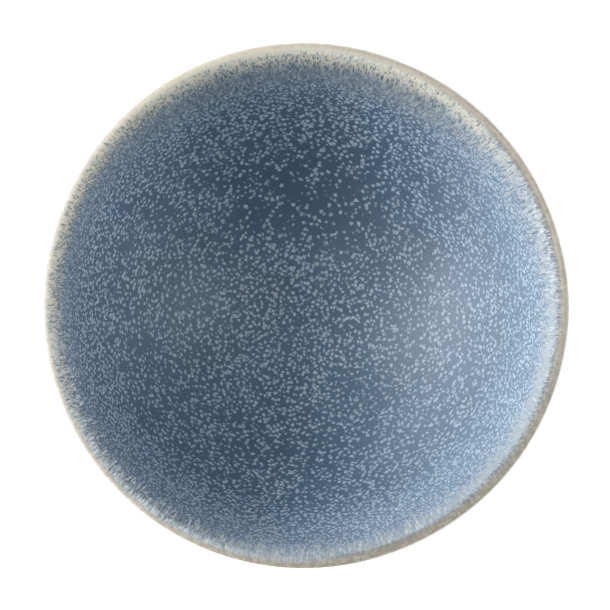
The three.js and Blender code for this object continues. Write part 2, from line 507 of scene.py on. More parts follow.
# turning marks: a shallow spiral cut across the recess, and finer ones on the ring's side
base = np.repeat(path[:, None, :], SEG, axis=1)
rr = base[..., 0]
spiral = 0.055 * np.sin(2 * math.pi * rr / 2.6 - PHI[None, :]) * np.clip((BORE_TOP - 3.2 - rr) / 3, 0, 1) * np.clip(rr / 2, 0, 1)
spiral += 0.03 * np.sin(2 * math.pi * rr / 1.3 - PHI[None, :] * 2 + 1.0) * np.clip((BORE_TOP - 3.2 - rr) / 3, 0, 1) * np.clip(rr / 2, 0, 1)
is_recess = (np.arange(len(path)) < 44)[:, None]
base[..., 1] += np.where(is_recess, spiral, 0)
is_side = ((path[:, 1] > 1.2) & (path[:, 1] < 7.5) & (path[:, 0] > 38.0) & (np.arange(len(path)) < n_seen))[:, None]
base[..., 0] += np.where(is_side, 0.03 * np.sin(base[..., 1] * 2 * math.pi / 1.45 + 0.6 * np.sin(PHI)[None, :]), 0)
w = np.clip(base[..., 1] / HEIGHT, 0, 1) ** 2
r = base[..., 0] + RIM_WOBBLE[None, :] * w * np.clip(base[..., 0] / RIM_R, 0, 1)
z = base[..., 1] + RIM_LEVEL[None, :] * w * 0.6
grid = np.stack([r * np.cos(PHI), r * np.sin(PHI), z], axis=-1)
b_scale = 0.488 / seg_len[n_seen]
h_scale = 0.055 / (seg_len[-1] - seg_len[n_seen])


def uv_body(i, row, j, col):
    a = 2 * math.pi * col / SEG
    if i < n_seen:
        k = seg_len[row] * b_scale
        return 0.5 + k * math.cos(a), 0.5 + k * math.sin(a)
    k = (seg_len[-1] - seg_len[row]) * h_scale
    return 0.065 + k * math.cos(a), 0.065 + k * math.sin(a)


along = seg_len.copy()
body = revolve("clay_body", grid, {"path_mm": along[:, None]}, uv_body, False, True, True)


# ---- a short way to write node trees -----------------------------------------------------------
class Tree:
    def __init__(self, name):
        self.mat = bpy.data.materials.new(name)
        self.mat.use_nodes = True
        self.nt = self.mat.node_tree
        self.nt.nodes.clear()
        self.out = self.nt.nodes.new("ShaderNodeOutputMaterial")

    def put(self, socket, v):
        if hasattr(v, "links") or isinstance(v, bpy.types.NodeSocket):
            self.nt.links.new(v, socket)
        elif v is not None:
            if isinstance(v, (tuple, list)) and len(v) == 3 and socket.type == "RGBA":
                v = (*v, 1.0)
            socket.default_value = v

    def math(self, op, a, b=None, c=None, clamp=False):
        n = self.nt.nodes.new("ShaderNodeMath")
        n.operation, n.use_clamp = op, clamp
        for s, v in zip(n.inputs, (a, b, c)):
            self.put(s, v)
        return n.outputs[0]

    def add(self, a, b):
        return self.math("ADD", a, b)

    def sub(self, a, b):
        return self.math("SUBTRACT", a, b)

    def mul(self, a, b):
        return self.math("MULTIPLY", a, b)

    def mad(self, a, b, c):
        return self.math("MULTIPLY_ADD", a, b, c)

    def clamp(self, a):
        return self.math("ADD", a, 0.0, clamp=True)

    def inv(self, a):
        return self.math("SUBTRACT", 1.0, a)

    def mx(self, a, b):
        return self.math("MAXIMUM", a, b)

    def vec(self, op, a, b=None, scale=None):
        n = self.nt.nodes.new("ShaderNodeVectorMath")
        n.operation = op
        self.put(n.inputs[0], a)
        if b is not None:
            self.put(n.inputs[1], b)
        if scale is not None:
            self.put(n.inputs["Scale"], scale)
        return n.outputs["Value"] if op in ("LENGTH", "DOT_PRODUCT", "DISTANCE") else n.outputs[0]

    def combine(self, x, y, z):
        n = self.nt.nodes.new("ShaderNodeCombineXYZ")
        for s, v in zip(n.inputs, (x, y, z)):
            self.put(s, v)
        return n.outputs[0]

    def split(self, v):
        n = self.nt.nodes.new("ShaderNodeSeparateXYZ")
        self.put(n.inputs[0], v)
        return n.outputs[0], n.outputs[1], n.outputs[2]

    def ramp(self, x, lo, hi, a=0.0, b=1.0, smooth=True):
        n = self.nt.nodes.new("ShaderNodeMapRange")
        n.interpolation_type = "SMOOTHSTEP" if smooth else "LINEAR"
        n.clamp = True
        self.put(n.inputs["Value"], x)
        for k, v in (("From Min", lo), ("From Max", hi), ("To Min", a), ("To Max", b)):
            self.put(n.inputs[k], v)
        return n.outputs[0]

    def noise(self, v, scale, detail=2.0, rough=0.5, distortion=0.0, colour=False):
        n = self.nt.nodes.new("ShaderNodeTexNoise")
        n.noise_dimensions = "3D"
        self.put(n.inputs["Vector"], v)
        self.put(n.inputs["Scale"], scale)
        self.put(n.inputs["Detail"], detail)
        self.put(n.inputs["Roughness"], rough)
        self.put(n.inputs["Distortion"], distortion)
        return n.outputs[1] if colour else n.outputs[0]

    def cells(self, v, scale, feature="F1", randomness=1.0, smooth=None, dims="3D"):
        n = self.nt.nodes.new("ShaderNodeTexVoronoi")
        n.voronoi_dimensions, n.feature = dims, feature
        self.put(n.inputs["Vector"], v)
        self.put(n.inputs["Scale"], scale)
        self.put(n.inputs["Randomness"], randomness)
        if smooth is not None:
            self.put(n.inputs["Smoothness"], smooth)
        return n

    def mix(self, f, a, b, mode="MIX"):
        n = self.nt.nodes.new("ShaderNodeMix")
        n.data_type, n.blend_type = "RGBA", mode
        n.clamp_factor = True
        self.put(n.inputs[0], f)
        self.put(n.inputs[6], a)
        self.put(n.inputs[7], b)
        return n.outputs[2]

    def attr(self, name):
        n = self.nt.nodes.new("ShaderNodeAttribute")
        n.attribute_name = name
        return n.outputs["Fac"]

    def object_mm(self):
        n = self.nt.nodes.new("ShaderNodeTexCoord")
        return self.vec("SCALE", n.outputs["Object"], scale=1000.0)

    def bump(self, height, strength, distance, normal=None):
        n = self.nt.nodes.new("ShaderNodeBump")
        self.put(n.inputs["Strength"], strength)
        self.put(n.inputs["Distance"], distance)
        self.put(n.inputs["Height"], height)
        if normal is not None:
            self.put(n.inputs["Normal"], normal)
        return n.outputs[0]

    def surface(self, **kw):
        n = self.nt.nodes.new("ShaderNodeBsdfPrincipled")
        for k, v in kw.items():
            self.put(n.inputs[k.replace("_", " ")], v)
        self.nt.links.new(n.outputs[0], self.out.inputs["Surface"])
        return n


# ---- the glaze -------------------------------------------------------------------------------
# Linear colours.
BLUE_DEEP = (0.077, 0.127, 0.192)
BLUE_MID = (0.097, 0.157, 0.232)
COBALT = (0.088, 0.150, 0.270)
BLUE_EDGE = (0.165, 0.240, 0.330)
SPECK = (0.425, 0.530, 0.635)
SPECK_WALL = (0.392, 0.494, 0.600)
SPECK_EDGE = (0.530, 0.636, 0.742)
BLUE_PALE = (0.212, 0.294, 0.386)
SPECK_WARM = (0.44, 0.48, 0.46)
CREAM = (0.68, 0.635, 0.495)
COOL_WHITE = (0.50, 0.545, 0.575)
COOL_SHADED = (0.362, 0.395, 0.418)
TAN = (0.292, 0.260, 0.207)
TAN_PALE = (0.510, 0.456, 0.364)
TAN_CREST = (0.560, 0.495, 0.395)
LEFT_EDGE_SHADE = (0.280, 0.283, 0.268)
TAN_ROSE = (0.430, 0.365, 0.290)
TAN_COOL = (0.410, 0.415, 0.385)
TAN_LOW = (0.520, 0.500, 0.440)
CREAM_LIT = (0.88, 0.83, 0.67)
EDGE_SHEEN = (0.78, 0.75, 0.73)
VEIL_LOW = (0.270, 0.322, 0.348)
SPECK_GREY = (0.255, 0.303, 0.320)
FLECK = (0.062, 0.100, 0.155)
FLECK_LEFT = (0.058, 0.082, 0.098)
SHADE = (0.055, 0.095, 0.150)
SHADE_TEAL = (0.050, 0.098, 0.138)
CLOUD = (0.280, 0.330, 0.355)
GAP = (0.165, 0.225, 0.290)
GAP_PALE = (0.290, 0.370, 0.435)
DASH = (0.120, 0.140, 0.155)
WHITE = (0.66, 0.68, 0.68)
STROKE = (0.86, 0.885, 0.90)
DUSK = (0.330, 0.358, 0.350)
UMBER = (0.225, 0.195, 0.150)
OCHRE = (0.430, 0.375, 0.240)
LINE = (0.165, 0.152, 0.124)


def glaze(name, side):
    """side 1 is the inside, -1 the outside, 0 the rim, where both meet."""
    t = Tree(name)
    p = t.object_mm()
    u = t.attr("u_mm")
    c = t.attr("c_mm")
    depth = t.math("ABSOLUTE", u)
    x, y, z = t.split(p)
    angle = t.math("ARCTAN2", y, x)

    def round_about(degrees, power=1):
        """1 on one side of the bowl, -1 on the other."""
        return t.math("COSINE", t.sub(angle, math.radians(degrees)))

    # a frame wrapped round the rim: radius held, height replaced by the distance along the
    # surface, squeezed so that whatever is drawn in it runs down the wall
    unit = t.vec("NORMALIZE", t.combine(x, y, 0.0))
    ring = t.vec("SCALE", unit, scale=86.0)
    rx, ry, _ = t.split(ring)
    left_half = t.ramp(round_about(160), 0.0, 0.9)
    runs = t.combine(rx, ry, t.mul(u, t.mad(left_half, 0.13, 0.15)))
    # the flat chart: crystals keep their shape all the way up the wall
    flat = t.vec("SCALE", unit, scale=c)

    # broad, soft changes of tone
    broad = t.noise(p, 0.035, 2.0, 0.5)
    patch = t.noise(p, 0.085, 3.0, 0.55)
    base = t.mix(t.ramp(broad, 0.35, 0.65), BLUE_DEEP, BLUE_MID)
    base = t.mix(t.ramp(patch, 0.56, 0.70, 0.0, 0.55), base, COBALT)
    toward = t.ramp(t.mad(broad, 6.0, depth), 30.0, 12.0)
    base = t.mix(toward, base, BLUE_EDGE)

    # how thickly the crystals are scattered
    wide = t.mad(t.noise(p, 0.10, 2.0, 0.5), 1.2, -0.60)
    if side >= 0:
        centre = t.vec("DISTANCE", p, (0.0, -9.0, 9.0))
        dense = t.ramp(centre, 44.0, 22.0, 0.0, 0.26)
        bare = t.vec("DISTANCE", p, (4.0, 38.0, 16.0))
        thin = t.ramp(bare, 34.0, 8.0, 0.0, 0.37)
        # darker blue round a point high on the far wall: partly a deeper blue in the glaze, partly painted shade on
        # that wall, which is turned away from the main lights
        deep = t.vec("DISTANCE", p, (13.0, 49.0, 19.0))
        base = t.mix(t.ramp(deep, 50.0, 14.0, 0.0, 0.48), base, SHADE)
        crowd = t.ramp(depth, 40.0, 22.0, 0.0, 0.42)
        field = t.add(0.66, t.sub(t.add(dense, crowd), thin))
    else:
        crowd = t.ramp(depth, 40.0, 20.0, 0.0, 0.30)
        low = t.ramp(depth, 60.0, 84.0, 0.0, 0.2)
        field = t.add(0.70, t.add(crowd, low))
    field = t.add(field, wide)

    warp = t.vec("SCALE", t.vec("SUBTRACT", t.noise(flat, 0.14, 0.0, 0.5, colour=True), (0.5, 0.5, 0.5)), scale=1.6)
    ragged = t.noise(flat, 2.7, 2.0, 0.55)
    lie = t.ramp(c, 8.0, 45.0, 6.2832, 1.6)  # crystals lie along the ring on the wall
    draw = t.ramp(c, 20.0, 70.0, 0.36, 0.56)
    # at one side they grow into each other high on the wall
    far_side = t.ramp(round_about(92), 0.55, 1.0)
    merge = t.mul(far_side, t.ramp(depth, 31.0, 15.0))
    field = t.add(field, t.mul(merge, 0.5))
    draw = t.mul(t.mul(draw, t.mad(merge, -0.55, 1.0)), t.mad(far_side, -0.5, 1.0))
    swell = t.mad(far_side, 0.22, t.ramp(depth, 30.0, 16.0, 1.0, 0.90))
    # painted light: the right side of the bowl faces the main lights, and its wall is painted a paler blue
    lit_side = t.ramp(round_about(-12), -0.1, 0.95)
    base = t.mix(t.mul(lit_side, t.add(t.ramp(depth, 48.0, 20.0, 0.0, 0.58), t.ramp(depth, 88.0, 56.0, 0.0, 0.12))), base, BLUE_PALE)
    left_side = t.ramp(round_about(185), 0.2, 0.9)
    pale_side = t.ramp(round_about(305), 0.25, 0.75)
    low_side = t.ramp(round_about(268), 0.3, 0.95)
    # painted shade: a darker band part-way down the wall along the bottom and the top of the bowl, the walls turned
    # away from the lights on the left and right
    painted_shade_band = t.mul(t.ramp(depth, 26.0, 37.0), t.ramp(depth, 90.0, 56.0))
    base = t.mix(t.mul(t.mx(t.mul(low_side, 0.40), t.mul(far_side, 0.22)), painted_shade_band), base, SHADE)
    base = t.mix(t.mul(low_side, t.ramp(depth, 30.0, 20.0, 0.0, 0.25)), base, BLUE_PALE)
    if side >= 0:
        # four painted highlights: paler blue round four spots inside where the lights reflect in the glaze
        for px, py, pz, reach, much in ((37.0, -49.0, 28.0, 25.0, 0.24), (13.0, 13.0, 9.0, 18.0, 0.14), (32.0, -12.0, 14.0, 18.0, 0.20), (-39.0, 3.0, 18.0, 17.0, 0.26)):
            spot = t.vec("DISTANCE", p, (px, py, pz))
            base = t.mix(t.ramp(spot, reach, reach * 0.25, 0.0, much), base, BLUE_PALE)

    fx, fy, _ = t.split(t.vec("ADD", flat, warp))

    def rosettes(pitch, radius, spread_r, chance, soft, turned, grow, avoid=None):
        """Crystals scattered at the given pitch: each a soft oval of its own size and lean.
        Each layer's grid is turned by its own angle, so that no rows show."""
        ca, sa = math.cos(turned), math.sin(turned)
        v = t.combine(
            t.add(t.mad(fx, ca, 0.0), t.mul(fy, -sa)), t.add(t.mad(fx, sa, 0.0), t.mul(fy, ca)), 0.0
        )
        v = t.vec("ADD", v, (17.0 * turned, -31.0 * turned, 0.0))
        cell = t.cells(v, 1.0 / pitch, "F1", 0.82, dims="2D")
        sep = t.nt.nodes.new("ShaderNodeSeparateColor")
        t.put(sep.inputs[0], cell.outputs["Color"])
        r1, r2, r3 = sep.outputs[0], sep.outputs[1], sep.outputs[2]
        local = t.vec("SUBTRACT", v, cell.outputs["Position"])
        lx, ly, _ = t.split(local)
        lean = t.add(t.add(angle, math.pi / 2 + turned), t.mul(t.sub(r3, 0.5), lie))
        along = t.add(t.mul(lx, t.math("COSINE", lean)), t.mul(ly, t.math("SINE", lean)))
        size2 = t.add(t.mul(lx, lx), t.mul(ly, ly))
        oval = t.math("SQRT", t.mx(t.sub(size2, t.mul(t.mul(along, along), draw)), 0.0))
        turn = t.add(t.math("ARCTAN2", ly, lx), t.mul(r3, 20.0))
        petals = t.mad(t.math("COSINE", t.mul(turn, 3.0)), 0.13, 1.0)
        reach = t.mul(t.mad(r2, spread_r, radius), t.mad(t.sub(ragged, 0.5), 1.1, 1.0))
        reach = t.mul(reach, t.mul(petals, t.mad(merge, grow, swell)))
        m = t.ramp(t.sub(reach, oval), -soft, soft * 1.3)
        here = t.ramp(t.sub(t.mul(field, chance), r1), -0.04, 0.10)
        if avoid:
            # left out where a crystal of the first layer already stands
            o_pitch, o_chance, o_turned, clear = avoid
            co, so = math.cos(o_turned - turned), math.sin(o_turned - turned)
            qx, qy, _ = t.split(t.vec("SUBTRACT", cell.outputs["Position"], (17.0 * turned, -31.0 * turned, 0.0)))
            w = t.combine(
                t.add(t.mad(qx, co, 17.0 * o_turned), t.mul(qy, -so)),
                t.add(t.mad(qx, so, -31.0 * o_turned), t.mul(qy, co)),
                0.0,
            )
            other = t.cells(w, 1.0 / o_pitch, "F1", 0.82, dims="2D")
            so2 = t.nt.nodes.new("ShaderNodeSeparateColor")
            t.put(so2.inputs[0], other.outputs["Color"])
            near = t.ramp(other.outputs["Distance"], (clear + 0.06) / o_pitch, (clear - 0.06) / o_pitch)
            stands = t.ramp(t.sub(t.mul(field, o_chance), so2.outputs[0]), -0.04, 0.10)
            here = t.mul(here, t.mad(t.mul(near, stands), -1.0, 1.0))
        faint = t.ramp(t.math("FRACT", t.mul(r1, 7.31)), 0.0, 1.0, 0.74, 1.0, smooth=False)
        return t.mul(t.mul(m, faint), here), r2, oval

    m1, tone1, d1 = rosettes(2.30, 0.360, 0.24, 0.98, 0.20, 0.55, 0.10)
    m3, tone3, d3 = rosettes(2.30, 0.350, 0.24, 0.94, 0.20, 1.30, 0.20, (2.30, 0.98, 0.55, 0.85))
    m2, tone2, d2 = rosettes(1.60, 0.18, 0.17, 0.62, 0.16, 2.10, 1.30, (2.30, 0.98, 0.55, 0.70))
    spots = t.mx(t.mx(m1, m3), t.mul(m2, 0.85))
    haze = t.mul(merge, 0.56)  # between them the glaze clouds over
    base = t.mix(haze, base, SPECK_GREY)
    spot_col = t.mix(t.ramp(tone1, 0.94, 0.98, 0.0, 0.6), SPECK, SPECK_WARM)
    spot_col = t.mix(t.ramp(c, 25.0, 55.0), spot_col, SPECK_WALL)
    spot_col = t.mix(t.ramp(depth, 34.0, 12.0), spot_col, SPECK_EDGE)
    spot_col = t.mix(t.mul(merge, 0.85), spot_col, SPECK_GREY)
    # the crystals draw the colour out of the glaze round them
    halo = t.ramp(t.math("MINIMUM", d1, d3), 1.1, 0.6, 0.0, 0.14)
    base = t.mix(halo, base, SHADE)
    # painted highlight: on the right wall, under the main highlight, the crystals are painted fainter, as if washed
    # over by it; on the upper-left wall, out of the highlight, the blue between them is painted darker and the crystals
    # paler, so they stand out more
    wall = t.ramp(c, 22.0, 40.0)
    unveiled_wall = t.mul(t.ramp(round_about(140), 0.0, 0.9), wall)
    highlight_veil = t.mul(t.mul(t.ramp(round_about(-10), 0.1, 0.9), wall), t.ramp(depth, 18.0, 30.0, 0.45, 1.0))
    base = t.mix(t.mul(unveiled_wall, 0.12), base, SHADE_TEAL)
    spot_col = t.mix(t.mul(unveiled_wall, 0.45), spot_col, SPECK)
    mottle = t.noise(flat, 1.3, 2.0, 0.6)
    base = t.mix(t.mul(t.ramp(mottle, 0.55, 0.35), t.ramp(c, 20.0, 70.0, 0.26, 0.52)), base, SHADE)
    col = t.mix(t.mul(spots, t.mad(highlight_veil, -0.20, 1.0)), base, spot_col)
    knit = t.noise(t.combine(rx, ry, t.mul(u, 0.42)), 0.95, 3.0, 0.65)
    col = t.mix(t.mul(merge, t.ramp(knit, 0.52, 0.40, 0.0, 0.58)), col, SHADE)

    # cream coat over the lip: its lower edge wanders and breaks into fine runs, and the blue
    # coat shows through between them right up to the lip
    wander = t.mad(t.noise(ring, 0.05, 2.0, 0.5), 5.0, -2.5)
    upper_left = t.ramp(round_about(142), 0.65, 1.0)
    corner = t.ramp(round_about(318), 0.62, 1.0)
    reach_in = t.add(t.mad(round_about(35), 3.2, t.mad(far_side, 2.9, t.mad(low_side, 0.5, 9.4))), wander)
    upper_right = t.ramp(round_about(45), 0.72, 0.98)
    reach_in = t.mad(upper_right, 1.6, t.mad(upper_left, -2.0, reach_in))
    loose = t.mad(upper_right, 1.6, t.mad(far_side, 4.0, 4.6))
    fine = t.noise(runs, 2.1, 2.0, 0.6)
    coarse = t.noise(runs, 0.60, 2.0, 0.5)
    web = t.noise(flat, 1.1, 2.0, 0.6)
    streak = t.add(
        t.mul(t.sub(fine, 0.5), 9.5),
        t.add(
            t.mul(t.sub(coarse, 0.5), 3.0),
            t.mul(t.sub(web, 0.5), t.ramp(depth, 7.0, 15.0, 1.0, 4.0)),
        ),
    )
    floor_need = t.mad(t.mul(far_side, t.ramp(depth, 12.0, 6.0)), -0.9, -0.7)
    need = t.mx(t.math("DIVIDE", t.sub(depth, reach_in), loose), floor_need)
    over = t.sub(t.mul(streak, t.mad(far_side, -0.5, 1.0)), need)
    veil = t.ramp(over, t.mad(far_side, -0.45, -0.45), t.mad(far_side, 0.45, 0.45))
    warm = t.ramp(round_about(118), -0.35, 0.75)
    warm = t.add(warm, t.mad(t.noise(ring, 0.09, 2.0, 0.5), 0.7, -0.35))
    warm = t.clamp(t.sub(warm, t.ramp(depth, 5.0, 15.0, 0.0, 0.45)))
    # painted shade: the cool cream is painted dimmer on the right side, where the lip's inner flank faces the main
    # lights, and whiter elsewhere
    cream = t.mix(warm, t.mix(lit_side, COOL_WHITE, COOL_SHADED), CREAM)
    cream = t.mix(t.mul(t.ramp(over, 0.4, 1.9, 0.0, 0.75), t.mul(t.mul(t.ramp(lit_side, 0.0, 1.0, 1.0, 0.55), t.mad(pale_side, -0.4, 1.0)), t.mad(warm, -0.75, 1.0))), cream, WHITE)
    cream = t.mix(t.mul(far_side, t.ramp(t.mad(t.sub(coarse, 0.5), 12.0, depth), 8.0, 18.0, 0.0, 0.9)), cream, DUSK)
    cream = t.mix(t.mul(far_side, t.mul(t.ramp(u, 1.2, 3.0), t.ramp(u, 12.0, 6.0, 0.0, 0.62))), cream, CREAM_LIT)
    cream = t.mix(t.mul(far_side, t.ramp(u, 2.2, 1.0, 0.0, 0.22)), cream, DUSK)
    ochre = t.ramp(t.noise(runs, 0.42, 2.0, 0.5), 0.52, 0.68)
    cream = t.mix(t.mul(t.mul(ochre, warm), t.mul(t.ramp(depth, 3.0, 7.0), 0.55)), cream, OCHRE)
    ground = t.mix(pale_side, GAP, GAP_PALE)
    shows = t.mix(t.mad(pale_side, 0.3, t.ramp(depth, 14.0, 5.0, 0.0, 0.6)), col, ground)
    col = t.mix(t.ramp(depth, 14.0, 8.0), col, shows)
    col = t.mix(t.mul(veil, 0.92), col, cream)

    holes = t.mul(t.ramp(depth, 10.0, 16.0), t.mul(t.ramp(depth, 36.0, 26.0), t.ramp(knit, 0.53, 0.42, 0.0, 0.40)))
    col = t.mix(t.mul(far_side, holes), col, SHADE)

    # just under the cream the coat is clouded, mostly on the far side
    cloud = t.mul(t.ramp(depth, 8.0, 12.0), t.ramp(depth, 23.0, 15.0))
    col = t.mix(t.mul(cloud, t.ramp(round_about(122), 0.1, 0.85, 0.0, 0.13)), col, CLOUD)

    # dark flecks of the blue coat, drawn out down the wall
    drops = t.combine(rx, ry, t.mul(u, t.mad(left_half, 0.16, 0.21)))
    shake = t.vec("SCALE", t.vec("SUBTRACT", t.noise(drops, 1.1, 1.0, 0.5, colour=True), (0.5, 0.5, 0.5)), scale=1.2)
    shaken = t.vec("ADD", drops, shake)
    f1 = t.cells(shaken, 1.28, "F1", 1.0)
    fs = t.nt.nodes.new("ShaderNodeSeparateColor")
    t.put(fs.inputs[0], f1.outputs["Color"])
    start = t.mad(far_side, 0.1, t.mul(t.sub(reach_in, 10.0), 0.5))
    chance = t.add(t.ramp(t.sub(depth, start), 1.0, 9.0, 0.44, 0.92), t.mul(far_side, t.ramp(depth, 9.0, 4.0, 0.0, -0.06)))
    chance = t.mad(far_side, 0.10, t.mad(left_side, 0.26, chance))
    fleck = t.mul(t.ramp(t.sub(chance, fs.outputs[0]), -0.05, 0.12), t.ramp(f1.outputs["Distance"], t.mad(far_side, 0.10, 0.54), 0.24))
    fleck = t.mul(fleck, t.mul(t.ramp(t.mad(left_side, 1.8, depth), 0.9, 2.2), t.ramp(depth, 24.0, 13.0)))
    fleck = t.mul(fleck, t.mad(pale_side, -0.8, 1.0))
    col = t.mix(t.mul(fleck, t.add(t.mad(far_side, 0.14, 0.68), t.mul(left_side, t.ramp(depth, 6.0, 2.0, 0.0, -0.20)))), col, t.mix(t.mul(left_side, t.ramp(depth, 9.0, 5.0)), FLECK, FLECK_LEFT))

    col = t.mix(t.mul(corner, t.mul(t.ramp(u, 1.0, 2.2), t.mad(t.ramp(u, 5.5, 3.0), 0.22, t.ramp(u, 13.0, 8.0, 0.0, 0.46)))), col, VEIL_LOW)

    # white strokes on the low side, starting right at the lip
    s1 = t.cells(t.vec("ADD", t.combine(rx, ry, t.mul(u, 0.14)), shake), 1.20, "F1", 1.0)
    ss = t.nt.nodes.new("ShaderNodeSeparateColor")
    t.put(ss.inputs[0], s1.outputs["Color"])
    stroke = t.mul(t.ramp(t.sub(t.ramp(depth, 13.0, 4.0, 0.25, 0.72), ss.outputs[0]), -0.05, 0.15), t.ramp(s1.outputs["Distance"], 0.56, 0.30))
    stroke = t.mul(stroke, t.mul(t.ramp(depth, 0.6, 1.8), t.ramp(depth, 15.0, 9.0)))
    stroke = t.mul(stroke, t.mx(t.ramp(round_about(250), 0.20, 0.85), t.ramp(round_about(-3), 0.80, 0.97, 0.0, 0.55)))
    col = t.mix(t.mul(stroke, t.mad(pale_side, -0.42, 0.86)), col, STROKE)

    # tan where the glaze breaks thin over the lip
    line = t.add(t.mad(t.noise(ring, 0.16, 3.0, 0.6), 1.6, -0.8), t.mad(t.noise(runs, 0.9, 2.0, 0.5), 1.8, -0.9))
    # partly painted shade: on the right, where the lip's inner flank faces the main lights, the flank is painted darker
    # in the line colour; part of this is the break's own dark line
    inner_flank = t.mul(t.ramp(t.add(u, line), 2.9, 1.7), t.ramp(u, -0.2, 1.0))
    flank_facing_lights = t.ramp(t.add(round_about(-22), t.mad(t.noise(ring, 0.11, 2.0, 0.5), 1.0, -0.5)), -0.25, 0.8)
    col = t.mix(t.mul(t.mul(inner_flank, flank_facing_lights), 0.72), col, LINE)
    reach_tan = t.add(t.mad(round_about(-35), 0.55, 0.42), t.mul(line, 0.7))
    reach_tan = t.mad(corner, 0.85, t.mad(t.ramp(round_about(45), 0.6, 1.0), 0.15, reach_tan))
    brk = t.ramp(t.sub(reach_tan, u), -0.5, 0.5)
    brk = t.mul(brk, t.ramp(u, -7.5, -3.5))
    # partly the tan's own change round the lip, partly painted light and shade: the tan is painted darker along the
    # bottom of the bowl and paler along the top and at the right
    shade = t.ramp(t.add(round_about(-95), t.mad(t.noise(ring, 0.12, 2.0, 0.5), 1.2, -0.6)), -0.75, 0.75, 0.08, 1.0)
    shade = t.mul(shade, t.ramp(round_about(225), 0.70, 1.0, 1.0, 0.76))
    cool = t.mix(t.ramp(round_about(237), 0.4, 0.95), TAN_COOL, TAN_LOW)
    lift = t.mix(t.ramp(round_about(100), 0.60, 0.97), TAN_PALE, TAN_CREST)
    lift = t.mix(t.ramp(round_about(42), 0.70, 1.0, 0.0, 0.75), lift, TAN_ROSE)
    tan = t.mix(shade, t.mix(t.ramp(round_about(75), -0.35, 0.6), cool, lift), TAN)
    tan = t.mix(t.ramp(round_about(3), 0.82, 1.0, 0.0, 0.28), tan, TAN_PALE)
    tan = t.mix(t.ramp(t.noise(p, 0.55, 3.0, 0.6), 0.40, 0.66, 0.0, 0.35), tan, CREAM)
    tan = t.mix(t.mul(t.ramp(t.noise(p, 0.9, 2.0, 0.6), 0.52, 0.70, 0.0, 0.35), t.mad(corner, 0.8, 1.0)), tan, UMBER)
    col = t.mix(t.mul(brk, 0.94), col, tan)
    rough_u = t.mad(line, 0.6, u)
    within = t.ramp(u, -0.1, 0.7)
    # partly painted shade: darker brown on the lip's inner flank at the lower right and upper right, where it faces the
    # lights; part of this is the break's own dark line
    col = t.mix(t.mul(t.ramp(round_about(320), 0.60, 1.0, 0.0, 0.50), t.mul(within, t.ramp(rough_u, 3.4, 1.6))), col, LINE)
    col = t.mix(t.mul(t.ramp(round_about(47), 0.70, 1.0, 0.0, 0.24), t.mul(within, t.ramp(rough_u, 2.0, 0.9))), col, UMBER)
    # painted shade: the outer flank of the lip on the left, where the main lights strike it, is painted greyer and
    # darker
    col = t.mix(t.mul(t.ramp(round_about(165), 0.5, 0.95, 0.0, 0.62), t.mul(t.ramp(u, -0.3, -1.0), t.ramp(u, -5.0, -2.5))), col, LEFT_EDGE_SHADE)
    # a pale sliver on two stretches of the outer edge, just below the break: a painted reflection of the bright
    # surroundings on the grazing edge
    sheen_edge = t.mx(t.ramp(round_about(43), 0.72, 0.95), t.ramp(round_about(318), 0.72, 0.95, 0.0, 0.8))
    col = t.mix(t.mul(sheen_edge, t.mul(t.ramp(u, -0.5, -1.4), t.ramp(u, -5.0, -3.0))), col, EDGE_SHEEN)

    # short dark dashes where the cream parts from the tan, on the warm side of the lip
    d1 = t.cells(t.vec("ADD", t.combine(rx, ry, t.mul(u, 0.26)), shake), 1.25, "F1", 1.0)
    ds = t.nt.nodes.new("ShaderNodeSeparateColor")
    t.put(ds.inputs[0], d1.outputs["Color"])
    dash = t.mul(t.ramp(t.sub(0.86, ds.outputs[0]), -0.05, 0.12), t.ramp(d1.outputs["Distance"], 0.62, 0.34))
    right = t.mul(t.ramp(round_about(-15), 0.45, 0.9), t.mul(t.ramp(u, 0.6, 1.2), t.ramp(u, 6.5, 3.0)))
    col = t.mix(t.mul(t.mul(dash, right), 0.88), col, DASH)
    top = t.mul(far_side, t.mul(t.ramp(u, 0.8, 2.2), t.ramp(u, 11.0, 6.0)))
    col = t.mix(t.mul(t.mul(dash, top), 0.42), col, GAP_PALE)

    if side <= 0:
        # the outside is fired a shade deeper
        col = t.mix(t.ramp(u, -1.8, -5.0, 0.0, 0.27), col, (0.030, 0.040, 0.050))

    # surface: satin, a little drier on the crystals and on the break
    rough = t.add(t.add(0.49, t.mul(spots, 0.05)), t.add(t.mul(brk, 0.06), t.mad(t.noise(p, 0.6, 3.0, 0.6), 0.10, -0.05)))
    pits = t.ramp(t.cells(p, 0.9, "F1", 1.0).outputs["Distance"], 0.0, 0.12)
    height = t.add(t.mul(t.noise(p, 0.55, 3.0, 0.55), 0.6), t.add(t.mul(spots, 0.25), t.mul(pits, 0.12)))
    height = t.sub(height, t.mul(fleck, 0.12))
    nrm = t.bump(height, 0.35, 0.00012)
    t.surface(Base_Color=col, Roughness=rough, Normal=nrm, IOR=1.5, Specular_IOR_Level=0.5)
    return t.mat


